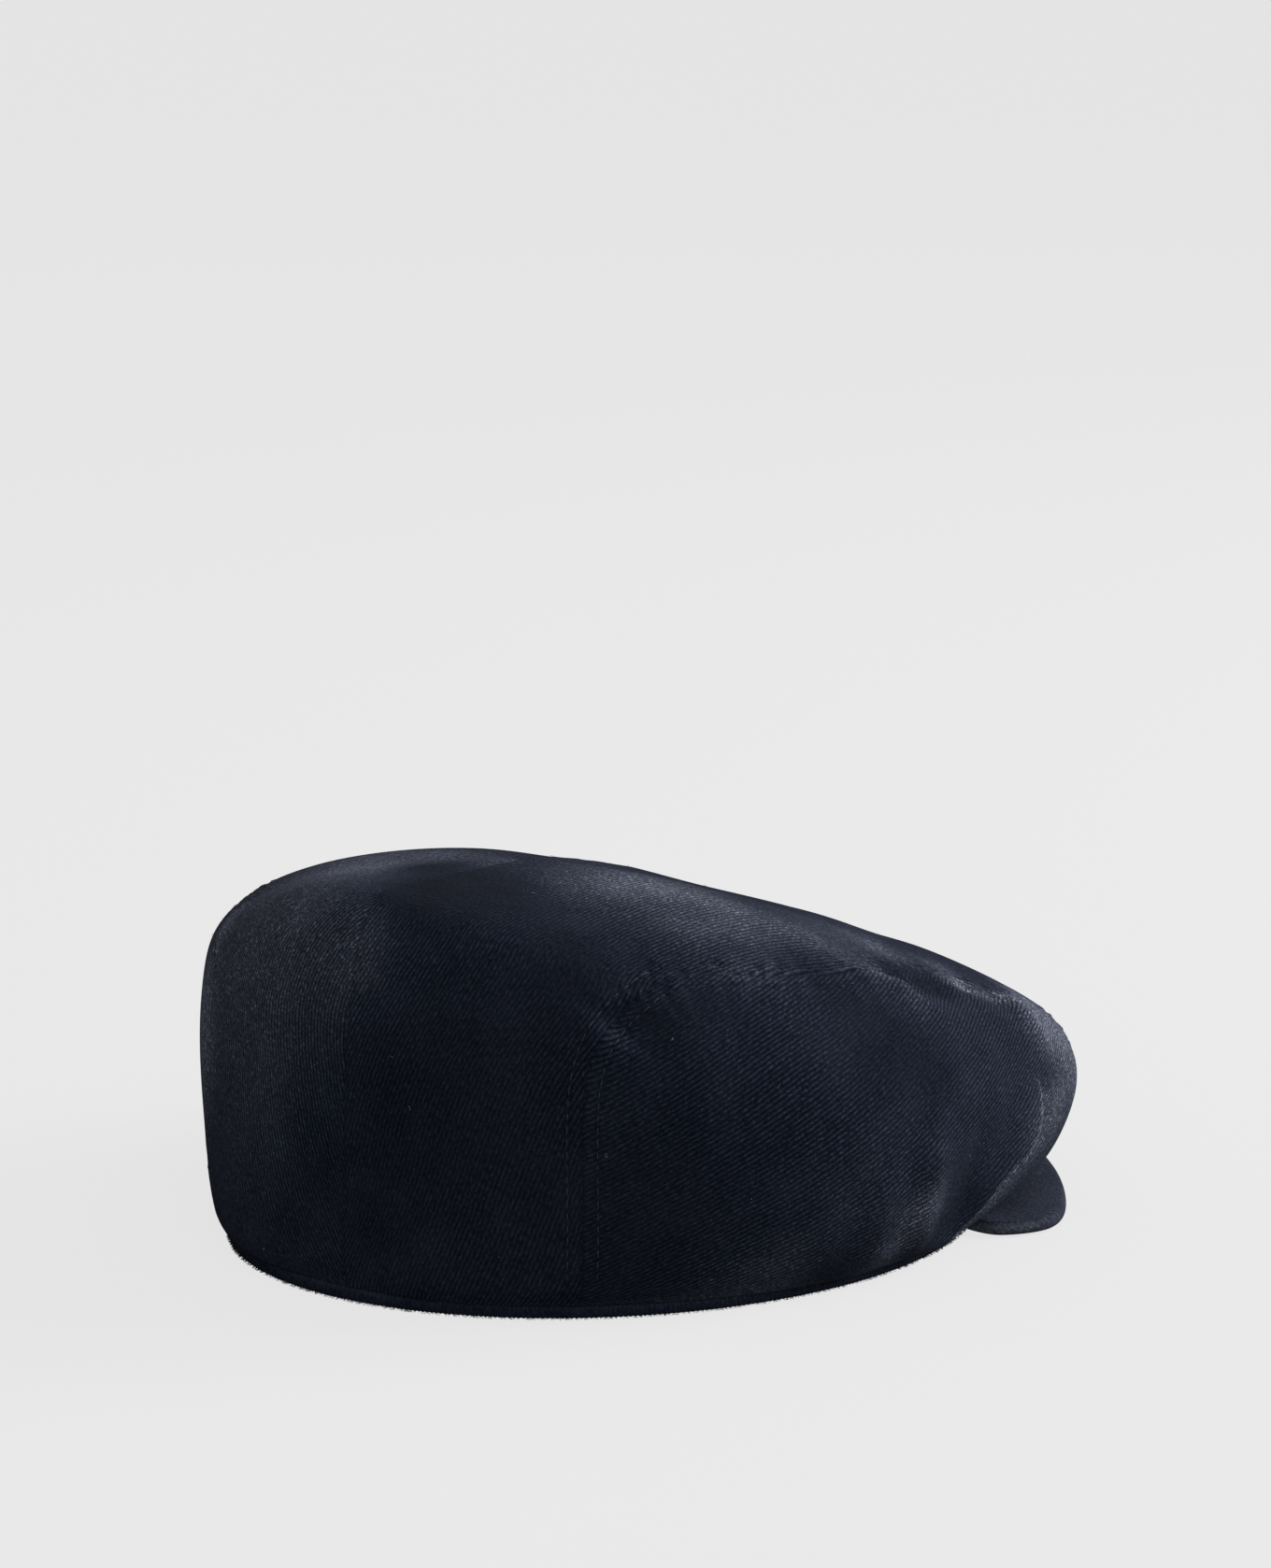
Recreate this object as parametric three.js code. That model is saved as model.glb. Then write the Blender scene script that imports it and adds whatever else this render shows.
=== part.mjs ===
// A flat cap of ribbed velvet, resting on its hem, in millimetres with +Z up. The wearer would face -Y, and their right
// side is -X. Two top panels meet at a centre seam and one front panel wraps round them from one rear quarter to the
// other. Below them are the hem band and, sewn to its front, the peak. All of the walls are cloth, so the cap is hollow.
import * as THREE from "three";

// The hem is an oval about the origin, for a head of about 585 mm round.
const HEM_HALF_LENGTH = 99;
const HEM_HALF_WIDTH = 87;
const BAND_THICKNESS = 3;
const CLOTH_THICKNESS = 2;
const GAP = 0.3;
const SEAM_GAP = 0.36;

// The crown is a fan of sections about an upright axis behind the middle of the hem, where the cap is about highest.
const CROWN_AXIS_Y = 32;
const CROWN_TOP = 93.5;
const SHOULDER_SHARE = 0.875;
const HEM_OVERLAP = 2.4;

/** A table's rows as objects with its column names. */
function table(columns, ...rows) {
  return rows.map((row) => Object.fromEntries(columns.map((name, i) => [name, row[i]])));
}

// Each section's angle from the centre back, in degrees, the height of its hem, how far its cloth runs out level from
// the hem, its widest reach from the axis, the heights of its side's lower and upper bends and of its shoulder, and
// where the level top starts as a share of the reach. Both sides of the cap are alike.
const SECTIONS = table(
  ["angle", "hem", "tuck", "reach", "low", "high", "shoulder", "top"],
  [0, 5, 2.5, 65, 22, 76, 98, 0.56],
  [30, 5, 6.5, 69, 24, 74, 93, 0.54],
  [60, 4.5, 4, 79.5, 27, 68.5, 83, 0.5],
  [90, 3.5, 6, 98, 28, 56.5, 78.5, 0.44],
  [120, 3.5, 8.5, 117.5, 28, 48, 69.5, 0.31],
  [150, 6, 13.5, 147.5, 20, 36.5, 59, 0.15],
  [180, 8, 22, 158, 13, 33.5, 48, 0.18],
);

// The seam round the front panel, from the hem at the wearer's right rear up, along the side and to the centre front:
// angle from the back and share of the way from the hem to the top. The left seam mirrors it.
const SIDE_SEAM = table(
  ["angle", "share"],
  [51.5, 0],
  [51.5, 0.2],
  [51.5, 0.38],
  [53, 0.47],
  [57, 0.56],
  [62, 0.64],
  [67, 0.695],
  [75, 0.725],
  [90, 0.73],
  [105, 0.725],
  [116, 0.71],
  [126, 0.695],
  [135, 0.655],
  [142, 0.6],
  [152, 0.54],
  [165, 0.5],
  [180, 0.485],
);
const SEAM_TURN = 0.42; // share of the side seam's length up to its turn forward

// The centre seam of the two top panels, from the hem at the back over the top to the side seams at the front.
const CENTRE_SEAM = table(
  ["angle", "share"],
  [3, 0],
  [2.5, 0.2],
  [2, 0.4],
  [3, 0.55],
  [3, 0.68],
  [0, 0.85],
  [0, 1],
  [180, 0.75],
  [180, 0.485],
);

// Folds and dents of the soft cloth: each runs from one place to another, with its half width and how far it stands out,
// or in where that is negative.
const FOLDS = table(
  ["fromAngle", "fromShare", "toAngle", "toShare", "width", "height"],
  [54, 0.5, 63, 0.46, 8, 2.4],
  [60, 0.56, 66, 0.53, 10, -3],
  [107, 0.71, 110, 0.65, 6, 1.8],
  [126, 0.69, 132, 0.6, 7, 1.8],
  [119, 0.65, 123, 0.55, 9, -2.2],
  [131, 0.45, 127, 0.2, 8, 2.4],
  [127, 0.2, 122, 0.08, 7, 2.2],
  [118, 0.22, 109, 0.23, 9, 1.6],
  [109, 0.23, 109, 0.1, 8, 2],
  [97, 0.21, 99, 0.11, 8, 1.2],
  [140, 0.26, 146, 0.16, 9, -1.4],
  [-57, 0.52, -66, 0.5, 10, -0.6],
  [-104, 0.7, -112, 0.62, 8, 1.4],
  [-128, 0.45, -124, 0.15, 9, 2],
  [-108, 0.25, -110, 0.1, 8, 1.6],
  [-146, 0.3, -156, 0.2, 12, -2],
);

// The peak's outline in plan, from where it leaves the band at the wearer's right to its tip. The left side mirrors it.
const PEAK_OUTLINE = table(["x", "y"], [-80.5, -41.5], [-90, -43], [-95.5, -56], [-87, -73.5], [-66, -97.5], [-37, -119.5], [0, -132]);
const PEAK_FIRST_ANGLE = 134;
const PEAK_THICKNESS = 3.4;
const PEAK_CORNER_HEIGHT = 3.8;
const PEAK_TIP_HEIGHT = 6;
const PEAK_EDGE_ROUND = 1.2;

/** The columns of the section at an angle, blended smoothly between the rows and mirrored at both ends. */
function sectionAt(angle) {
  const step = SECTIONS[1].angle;
  const last = SECTIONS.length - 1;
  const fromBack = Math.abs(THREE.MathUtils.euclideanModulo(angle + 180, 360) - 180);
  const index = Math.min(Math.floor(fromBack / step), last - 1);
  const f = fromBack / step - index;
  const rowAt = (i) => SECTIONS[last - Math.abs(last - Math.abs(i))];
  const blend = (name) => {
    const [a, b, c, d] = [-1, 0, 1, 2].map((offset) => rowAt(index + offset)[name]);
    return 0.5 * (2 * b + (c - a) * f + (2 * a - 5 * b + 4 * c - d) * f ** 2 + (3 * b - a - 3 * c + d) * f ** 3);
  };
  return Object.fromEntries(Object.keys(SECTIONS[0]).map((name) => [name, blend(name)]));
}

/** Distance from the crown's axis to the hem's outer face, at an angle from the back. */
function hemRadius(angle) {
  const a = THREE.MathUtils.degToRad(angle);
  const across = Math.sin(a) / HEM_HALF_WIDTH;
  const along = Math.cos(a) / HEM_HALF_LENGTH;
  const axis = CROWN_AXIS_Y / HEM_HALF_LENGTH;
  const square = across ** 2 + along ** 2;
  const half = axis * along;
  return (Math.sqrt(half ** 2 + square * (1 - axis ** 2)) - half) / square;
}

/** A point of a clamped cubic B-spline, at t from 0 to 1. */
function spline(control, t) {
  const spans = control.length - 3;
  const knot = (i) => THREE.MathUtils.clamp((i - 3) / spans, 0, 1);
  const first = Math.min(Math.floor(Math.max(t, 0) * spans), spans - 1);
  let points = control.slice(first, first + 4);
  for (let level = 1; level <= 3; level++) {
    points = points.slice(1).map((point, j) => {
      const start = knot(first + level + j);
      const share = (t - start) / (knot(first + 4 + j) - start);
      return point.map((value, n) => points[j][n] + (value - points[j][n]) * share);
    });
  }
  return points[0];
}

/** A point of the smooth crown, a depth inside its outer face. */
function skin(angle, share, depth) {
  const { hem, tuck, reach, low, high, shoulder, top } = sectionAt(angle);
  const rim = hemRadius(angle);
  const [radius, z] = spline(
    [
      [rim - HEM_OVERLAP, hem + depth],
      [rim + tuck - depth, hem + depth],
      [reach - depth, low],
      [reach - depth, high - depth / 2],
      [reach * SHOULDER_SHARE - depth * 0.7, shoulder - depth * 0.7],
      [reach * top, CROWN_TOP - depth],
      [0, CROWN_TOP - depth],
    ],
    share,
  );
  const a = THREE.MathUtils.degToRad(angle);
  return new THREE.Vector3(-Math.sin(a) * radius, CROWN_AXIS_Y + Math.cos(a) * radius, z);
}

/** A place on the crown laid out as a disk: the top is its middle, the hem its edge, and the back is +y. */
function place({ angle, share }) {
  const a = THREE.MathUtils.degToRad(angle);
  return new THREE.Vector2(Math.sin(a), Math.cos(a)).multiplyScalar(1 - share);
}

/** The smooth crown's point at a place on the disk. */
function skinAt(spot, depth) {
  return skin(THREE.MathUtils.radToDeg(Math.atan2(spot.x, spot.y)), 1 - spot.length(), depth);
}

const foldLines = FOLDS.map((fold) => ({
  line: new THREE.Line3(skin(fold.fromAngle, fold.fromShare, 0), skin(fold.toAngle, fold.toShare, 0)),
  width: fold.width,
  height: fold.height,
}));

/** How far the folds push the cloth out at a point, fading out at the hem, where the band holds it. */
function foldHeight(point, share) {
  const nearest = new THREE.Vector3();
  const total = foldLines.reduce((sum, { line, width, height }) => {
    const distance = line.closestPointToPoint(point, true, nearest).distanceTo(point);
    return sum + height * Math.exp(-((distance / width) ** 2));
  }, 0);
  return total * THREE.MathUtils.smoothstep(share, 0.03, 0.13);
}

/** A point of the folded cloth at a place on the disk, a depth inside its outer face. */
function cloth(spot, depth) {
  const step = 0.004;
  const slope = (x, y) => {
    const ahead = skinAt(new THREE.Vector2(spot.x + x, spot.y + y), 0);
    return ahead.sub(skinAt(new THREE.Vector2(spot.x - x, spot.y - y), 0));
  };
  const outward = slope(0, step).cross(slope(step, 0)).normalize();
  const height = foldHeight(skinAt(spot, 0), 1 - spot.length());
  return skinAt(spot, depth).addScaledVector(outward, height);
}

/** A stretch of a curve, as a function of the share of its length, forwards or backwards. */
function stretch(curve, from, to) {
  return (t) => curve.getPointAt(THREE.MathUtils.lerp(from, to, t));
}

/** The place on the disk inside four edges, blended from all of them. */
function between({ bottom, top, left, right }, u, v) {
  const spot = bottom(u).multiplyScalar(1 - v).addScaledVector(top(u), v);
  spot.addScaledVector(left(v), 1 - u).addScaledVector(right(v), u);
  spot.addScaledVector(bottom(0), -(1 - u) * (1 - v)).addScaledVector(bottom(1), -u * (1 - v));
  return spot.addScaledVector(top(0), -(1 - u) * v).addScaledVector(top(1), -u * v);
}

/** An indexed geometry turned so that its faces point out. */
function closedGeometry(points, triangles) {
  const volume = triangles.reduce((sum, [a, b, c]) => {
    return sum + points[a].dot(new THREE.Vector3().crossVectors(points[b], points[c]));
  }, 0);
  const facing = volume > 0 ? triangles : triangles.map(([a, b, c]) => [a, c, b]);
  const geometry = new THREE.BufferGeometry().setFromPoints(points);
  geometry.setIndex(facing.flat());
  geometry.computeVertexNormals();
  return geometry;
}

/** A wall of cloth: an outer and an inner face of columns by rows of cells, joined round their edges. */
function wallGeometry(pointAt, columns, rows) {
  const points = [];
  for (const depth of [0, CLOTH_THICKNESS]) {
    for (let j = 0; j <= rows; j++) {
      for (let i = 0; i <= columns; i++) points.push(pointAt(i / columns, j / rows, depth));
    }
  }
  const at = (i, j, inner) => (inner * (rows + 1) + j) * (columns + 1) + i;
  const quad = (a, b, c, d) => [[a, b, c], [a, c, d]];
  const triangles = [];
  for (let j = 0; j < rows; j++) {
    for (let i = 0; i < columns; i++) {
      triangles.push(...quad(at(i, j, 0), at(i + 1, j, 0), at(i + 1, j + 1, 0), at(i, j + 1, 0)));
      triangles.push(...quad(at(i, j, 1), at(i, j + 1, 1), at(i + 1, j + 1, 1), at(i + 1, j, 1)));
    }
  }
  for (let i = 0; i < columns; i++) {
    triangles.push(...quad(at(i, 0, 1), at(i + 1, 0, 1), at(i + 1, 0, 0), at(i, 0, 0)));
    triangles.push(...quad(at(i, rows, 0), at(i + 1, rows, 0), at(i + 1, rows, 1), at(i, rows, 1)));
  }
  for (let j = 0; j < rows; j++) {
    triangles.push(...quad(at(0, j, 0), at(0, j + 1, 0), at(0, j + 1, 1), at(0, j, 1)));
    triangles.push(...quad(at(columns, j, 1), at(columns, j + 1, 1), at(columns, j + 1, 0), at(columns, j, 0)));
  }
  return closedGeometry(points, triangles);
}

/** A panel of the crown between four edges, kept half a gap inside those that meet other panels. */
function panelGeometry(edges, { columns, rows, rowShare, topTrim }) {
  const chord = (from, to) => skinAt(from, 0).distanceTo(skinAt(to, 0));
  return wallGeometry((i, j, depth) => {
    const v = Math.min(rowShare(j), 1 - topTrim / chord(edges.bottom(i), edges.top(i)));
    const sideTrim = SEAM_GAP / 2 / chord(edges.left(v), edges.right(v));
    return cloth(between(edges, THREE.MathUtils.lerp(sideTrim, 1 - sideTrim, i), v), depth);
  }, columns, rows);
}

/** A solid skinned over rings of points, joined into a loop or closed flat at both ends. */
function skinnedGeometry(rings, loop) {
  const points = rings.flat();
  const size = rings[0].length;
  const triangles = [];
  for (let k = 0; k < rings.length - (loop ? 0 : 1); k++) {
    const [here, next] = [k * size, ((k + 1) % rings.length) * size];
    for (let i = 0; i < size; i++) {
      const j = (i + 1) % size;
      triangles.push([here + i, here + j, next + j], [here + i, next + j, next + i]);
    }
  }
  if (!loop) {
    const last = (rings.length - 1) * size;
    for (let i = 1; i < size - 1; i++) triangles.push([0, i + 1, i], [last, last + i, last + i + 1]);
  }
  return closedGeometry(points, triangles);
}

const bendAt = (point) => sectionAt(THREE.MathUtils.radToDeg(Math.atan2(-point.x, point.y - CROWN_AXIS_Y)));
const hemPoint = (turn, inset, z) => new THREE.Vector3(
  (HEM_HALF_WIDTH - inset) * Math.cos(turn),
  (HEM_HALF_LENGTH - inset) * Math.sin(turn),
  z,
);

/** The hem band: an upright oval strip whose top follows the crown's lower edge. */
function bandGeometry() {
  const segments = 72;
  const rings = [];
  for (let k = 0; k < segments; k++) {
    const turn = (2 * Math.PI * k) / segments;
    const top = bendAt(hemPoint(turn, 0, 0)).hem - GAP;
    rings.push([
      hemPoint(turn, 0, 0),
      hemPoint(turn, 0, top),
      hemPoint(turn, BAND_THICKNESS, top),
      hemPoint(turn, BAND_THICKNESS, 0),
    ]);
  }
  return skinnedGeometry(rings, true);
}

/** The peak: a stiff crescent from the band out to its outline, a little arched, with a rounded edge. */
function peakGeometry() {
  const half = PEAK_OUTLINE.map(({ x, y }) => new THREE.Vector2(x, y));
  const mirrored = half.slice(0, -1).reverse().map(({ x, y }) => new THREE.Vector2(-x, y));
  const outline = new THREE.SplineCurve([...half, ...mirrored]);
  const segments = 44;
  const rings = [];
  for (let k = 0; k <= segments; k++) {
    const share = k / segments;
    const angle = THREE.MathUtils.lerp(PEAK_FIRST_ANGLE, 360 - PEAK_FIRST_ANGLE, share);
    const a = THREE.MathUtils.degToRad(angle);
    const radius = hemRadius(angle) + GAP;
    const inner = new THREE.Vector2(-Math.sin(a) * radius, CROWN_AXIS_Y + Math.cos(a) * radius);
    const outer = outline.getPointAt(share);
    const innerTop = sectionAt(angle).hem - GAP;
    const outerTop = THREE.MathUtils.lerp(PEAK_CORNER_HEIGHT, PEAK_TIP_HEIGHT, Math.sin(Math.PI * share) ** 3);
    const width = inner.distanceTo(outer);
    const along = (distance, top) => {
      const spot = inner.clone().lerp(outer, distance);
      return new THREE.Vector3(spot.x, spot.y, THREE.MathUtils.lerp(innerTop, outerTop, distance) - top);
    };
    const edge = 1 - Math.min(PEAK_EDGE_ROUND / width, 0.4);
    rings.push([
      along(0, 0),
      along(edge / 2, 0),
      along(edge, 0),
      along(1, PEAK_EDGE_ROUND),
      along(1, PEAK_THICKNESS - PEAK_EDGE_ROUND),
      along(edge, PEAK_THICKNESS),
      along(edge / 2, PEAK_THICKNESS),
      along(0, PEAK_THICKNESS),
    ]);
  }
  return skinnedGeometry(rings, false);
}

const mirror = (spot) => new THREE.Vector2(-spot.x, spot.y);
const rightSeam = new THREE.SplineCurve(SIDE_SEAM.map(place));
const leftSeam = new THREE.SplineCurve(SIDE_SEAM.map(place).map(mirror));
const centreSeam = new THREE.SplineCurve(CENTRE_SEAM.map(place));
const hemBetween = (from, to) => (t) => place({ angle: THREE.MathUtils.lerp(from, to, t), share: 0 });
const [seamFoot, centreFoot] = [SIDE_SEAM[0].angle, CENTRE_SEAM[0].angle];
const seamMeeting = () => place(SIDE_SEAM[SIDE_SEAM.length - 1]);

// The rows of the top panels meet the same points of the side seams as the rows and columns of the front panel.
const [sideRows, frontColumns] = [12, 72];
const topPanelSize = {
  columns: 12,
  rows: sideRows + frontColumns / 2,
  rowShare(j) {
    const row = j * (sideRows + frontColumns / 2);
    if (row <= sideRows) return (SEAM_TURN * row) / sideRows;
    return THREE.MathUtils.lerp(SEAM_TURN, 1, (row - sideRows) / (frontColumns / 2));
  },
  topTrim: 2,
};
const panels = {
  right_top_panel: panelGeometry(
    {
      bottom: hemBetween(centreFoot, seamFoot),
      top: seamMeeting,
      left: stretch(centreSeam, 0, 1),
      right: stretch(rightSeam, 0, 1),
    },
    topPanelSize,
  ),
  left_top_panel: panelGeometry(
    {
      bottom: hemBetween(centreFoot, -seamFoot),
      top: seamMeeting,
      left: stretch(centreSeam, 0, 1),
      right: stretch(leftSeam, 0, 1),
    },
    topPanelSize,
  ),
  front_panel: panelGeometry(
    {
      bottom: hemBetween(seamFoot, 360 - seamFoot),
      top: (t) => (t < 0.5
        ? rightSeam.getPointAt(THREE.MathUtils.lerp(SEAM_TURN, 1, t * 2))
        : leftSeam.getPointAt(THREE.MathUtils.lerp(1, SEAM_TURN, t * 2 - 1))),
      left: stretch(rightSeam, 0, SEAM_TURN),
      right: stretch(leftSeam, 0, SEAM_TURN),
    },
    { columns: frontColumns, rows: sideRows, rowShare: (j) => j, topTrim: SEAM_GAP / 2 },
  ),
};

const velvet = (color) => new THREE.MeshStandardMaterial({ color, roughness: 0.95, metalness: 0 });
const meshes = [
  ...Object.entries(panels).map(([name, geometry]) => [name, geometry, velvet(0x232a3f)]),
  ["hem_band", bandGeometry(), velvet(0x1b2030)],
  ["peak", peakGeometry(), velvet(0x2b3247)],
];

const cap = new THREE.Group();
for (const [name, geometry, material] of meshes) {
  const mesh = new THREE.Mesh(geometry, material);
  mesh.name = name;
  cap.add(mesh);
}

// The origin is moved to the middle of the whole cap's underside.
const middle = new THREE.Box3().setFromObject(cap).getCenter(new THREE.Vector3());
for (const mesh of cap.children) mesh.geometry.translate(-middle.x, -middle.y, 0);

export default cap;
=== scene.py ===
"""A flat cap of ribbed velvet, at rest on its hem on a plain pale floor."""
import math

import bpy
import numpy as np
from mathutils import Matrix, Vector


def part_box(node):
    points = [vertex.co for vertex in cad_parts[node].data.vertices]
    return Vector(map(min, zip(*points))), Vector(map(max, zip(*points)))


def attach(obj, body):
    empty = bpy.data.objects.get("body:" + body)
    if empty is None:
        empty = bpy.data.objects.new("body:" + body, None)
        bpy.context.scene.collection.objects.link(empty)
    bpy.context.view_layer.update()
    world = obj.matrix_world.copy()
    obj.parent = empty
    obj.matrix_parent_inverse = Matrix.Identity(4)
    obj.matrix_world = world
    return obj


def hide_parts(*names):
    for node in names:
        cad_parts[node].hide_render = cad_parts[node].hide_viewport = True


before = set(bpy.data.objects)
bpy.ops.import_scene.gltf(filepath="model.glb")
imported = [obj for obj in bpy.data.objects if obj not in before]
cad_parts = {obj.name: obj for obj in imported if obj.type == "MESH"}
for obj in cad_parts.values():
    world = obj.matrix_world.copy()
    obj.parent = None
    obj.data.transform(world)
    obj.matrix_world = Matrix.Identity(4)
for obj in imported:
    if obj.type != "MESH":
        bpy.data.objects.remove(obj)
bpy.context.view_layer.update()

# The view is a long lens from behind the wearer's right side and a little above, as the photograph has it.
# The camera is aimed so that the middle of the hem falls on its own pixel of the picture.
PICTURE_HEIGHT = 1678
PICTURE_MIDDLE = (680, 839)
HEM_MIDDLE_PIXEL = (648, 1297.5)
FOCAL_PIXELS = 5629
VIEW_TURN = math.radians(39.5)
VIEW_PITCH = math.radians(10.5)
VIEW_DISTANCE = 1.3
SENSOR = 36

hem_low, hem_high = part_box("hem_band")
hem_middle = Vector(((hem_low.x + hem_high.x) / 2, (hem_low.y + hem_high.y) / 2, 0))
view_forward = Vector((
    math.sin(VIEW_TURN) * math.cos(VIEW_PITCH),
    -math.cos(VIEW_TURN) * math.cos(VIEW_PITCH),
    -math.sin(VIEW_PITCH),
))
view_right = Vector((-math.cos(VIEW_TURN), -math.sin(VIEW_TURN), 0))
view_up = view_right.cross(view_forward)
ray = view_forward + view_right * ((HEM_MIDDLE_PIXEL[0] - PICTURE_MIDDLE[0]) / FOCAL_PIXELS)
ray -= view_up * ((HEM_MIDDLE_PIXEL[1] - PICTURE_MIDDLE[1]) / FOCAL_PIXELS)
camera = bpy.data.objects.new("camera", bpy.data.cameras.new("camera"))
camera.data.sensor_width = SENSOR
camera.data.lens = SENSOR * FOCAL_PIXELS / PICTURE_HEIGHT
axes = Matrix((view_right, view_up, -view_forward)).transposed()
camera.matrix_world = Matrix.Translation(hem_middle - ray * VIEW_DISTANCE) @ axes.to_4x4()
bpy.context.collection.objects.link(camera)
bpy.context.scene.camera = camera

# The studio is a wide pale floor under a white sky, with a soft lamp on the peak's side and a weaker one near
# the camera. The floor glows a little, so that the cap leaves only a thin shadow round its hem.
FLOOR_SIZE = 60
FLOOR_COLOUR = (0.1, 0.1, 0.1, 1)
FLOOR_GLOW = (0.742, 0.742, 0.742, 1)
SKY_LOW = 0.06
SKY_HIGH = 0.36
SKY_RISE = (-0.1, 0.5)
bpy.context.scene.view_settings.view_transform = "Standard"


def new_material(name):
    """An empty node material, and a function that adds a node to it and sets the node's inputs by name."""
    material = bpy.data.materials.new(name)
    material.use_nodes = True
    tree = material.node_tree
    tree.nodes.clear()

    def add(kind, inputs=None, **settings):
        made = tree.nodes.new("ShaderNode" + kind)
        for key, value in settings.items():
            setattr(made, key, value)
        for key, value in (inputs or {}).items():
            if isinstance(value, bpy.types.NodeSocket):
                tree.links.new(value, made.inputs[key])
            else:
                made.inputs[key].default_value = value
        return made

    return material, add


def soft_lamp(name, place, size, power):
    """A square lamp that faces the middle of the hem. Its place is a turn from the view, a height angle and a
    distance."""
    turn, lift, distance = math.radians(place[0]) + VIEW_TURN, math.radians(place[1]), place[2]
    towards = Vector((-math.sin(turn) * math.cos(lift), math.cos(turn) * math.cos(lift), math.sin(lift)))
    lamp = bpy.data.objects.new(name, bpy.data.lights.new(name, "AREA"))
    lamp.data.size = size
    lamp.data.energy = power
    facing = towards.to_track_quat("Z", "Y").to_matrix().to_4x4()
    lamp.matrix_world = Matrix.Translation(hem_middle + towards * distance) @ facing
    bpy.context.collection.objects.link(lamp)


floor = bpy.data.objects.new("floor", bpy.data.meshes.new("floor"))
edge = FLOOR_SIZE / 2
corners = [(-edge, -edge, 0), (edge, -edge, 0), (edge, edge, 0), (-edge, edge, 0)]
floor.data.from_pydata(corners, [], [(0, 1, 2, 3)])
floor_finish, add = new_material("pale_floor")
matt = add("BsdfDiffuse", {"Color": FLOOR_COLOUR})
glow = add("Emission", {"Color": FLOOR_GLOW})
both = add("AddShader", {0: matt.outputs[0], 1: glow.outputs[0]})
add("OutputMaterial", {"Surface": both.outputs[0]})
floor.data.materials.append(floor_finish)
bpy.context.collection.objects.link(floor)
floor.visible_diffuse = False
floor.visible_glossy = False

world = bpy.data.worlds.new("sky")
world.use_nodes = True
sky = world.node_tree
direction = sky.nodes.new("ShaderNodeTexCoord")
split = sky.nodes.new("ShaderNodeSeparateXYZ")
rise = sky.nodes.new("ShaderNodeMapRange")
rise.inputs["From Min"].default_value, rise.inputs["From Max"].default_value = SKY_RISE
rise.inputs["To Min"].default_value = SKY_LOW
rise.inputs["To Max"].default_value = SKY_HIGH
sky.links.new(direction.outputs["Generated"], split.inputs[0])
sky.links.new(split.outputs["Z"], rise.inputs["Value"])
sky.links.new(rise.outputs[0], sky.nodes["Background"].inputs["Strength"])
sky.nodes["Background"].inputs["Color"].default_value = (1, 1, 1, 1)
bpy.context.scene.world = world
soft_lamp("peak_side_lamp", place=(103, 24, 2.2), size=1.3, power=46)
soft_lamp("near_lamp", place=(5, 25, 2.4), size=1.6, power=12)

# The right top panel is a half of the crown's top: from the hem at the back it runs over the head and falls
# to the front. It is cut from navy ribbed velvet and sewn to the other two panels. Sizes are in millimetres.
MILLIMETRE = 0.001
HEM_HALF_LENGTH = 99
HEM_HALF_WIDTH = 87
CLOTH_THICKNESS = 2
CROWN_AXIS_Y = 32
CROWN_TOP = 93.5
SHOULDER_SHARE = 0.875
HEM_OVERLAP = 2.4
HEM_DROOP = 0.42
DROOP_ENDS = (118, 136)

# The crown is a fan of sections about an upright axis. Each has its angle from the centre back, the height of
# its hem, how far its cloth runs out level from there, its widest reach, the heights of its side's lower
# bend, its upper bend and its shoulder, and where the level top starts as a share of the reach.
SECTION_STEP = 30
SECTION_COLUMNS = ("hem", "tuck", "reach", "low", "high", "shoulder", "top")
SECTIONS = {
    0: (5, 2.5, 65, 22, 76, 98, 0.56),
    30: (5, 6.5, 69, 24, 74, 93, 0.54),
    60: (4.5, 4, 79.5, 27, 68.5, 83, 0.5),
    90: (3.5, 6, 98, 28, 56.5, 78.5, 0.44),
    120: (3.5, 8.5, 117.5, 28, 48, 69.5, 0.31),
    150: (6, 13.5, 147.5, 20, 36.5, 59, 0.15),
    180: (8, 22, 158, 13, 33.5, 48, 0.18),
}

# The seams run through these places: angle from the back, and share of the way from the hem to the top.
SIDE_SEAM = (
    (51.5, 0), (51.5, 0.2), (51.5, 0.38), (53, 0.47), (57, 0.56), (62, 0.64), (67, 0.695), (75, 0.725),
    (90, 0.73), (104, 0.732), (112, 0.738), (119, 0.741), (127, 0.728), (133, 0.69), (139, 0.635),
    (146, 0.58), (154, 0.535), (165, 0.5), (180, 0.485),
)
SEAM_TURN = 0.42  # share of the side seam's length up to its turn forward
LEFT_SEAM_BACK = 5  # how many degrees further back the left seam turns
SEAM_POINTS = 700
POINTS_AT_ONCE = 4000
ROW_OFFSET = 3.5  # from a side seam to each of its two rows of stitches
CENTRE_SEAM = (
    (3, 0), (2.5, 0.2), (2, 0.4), (3, 0.55), (3, 0.68), (0, 0.85), (0, 1), (180, 0.75), (180, 0.485),
)

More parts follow.
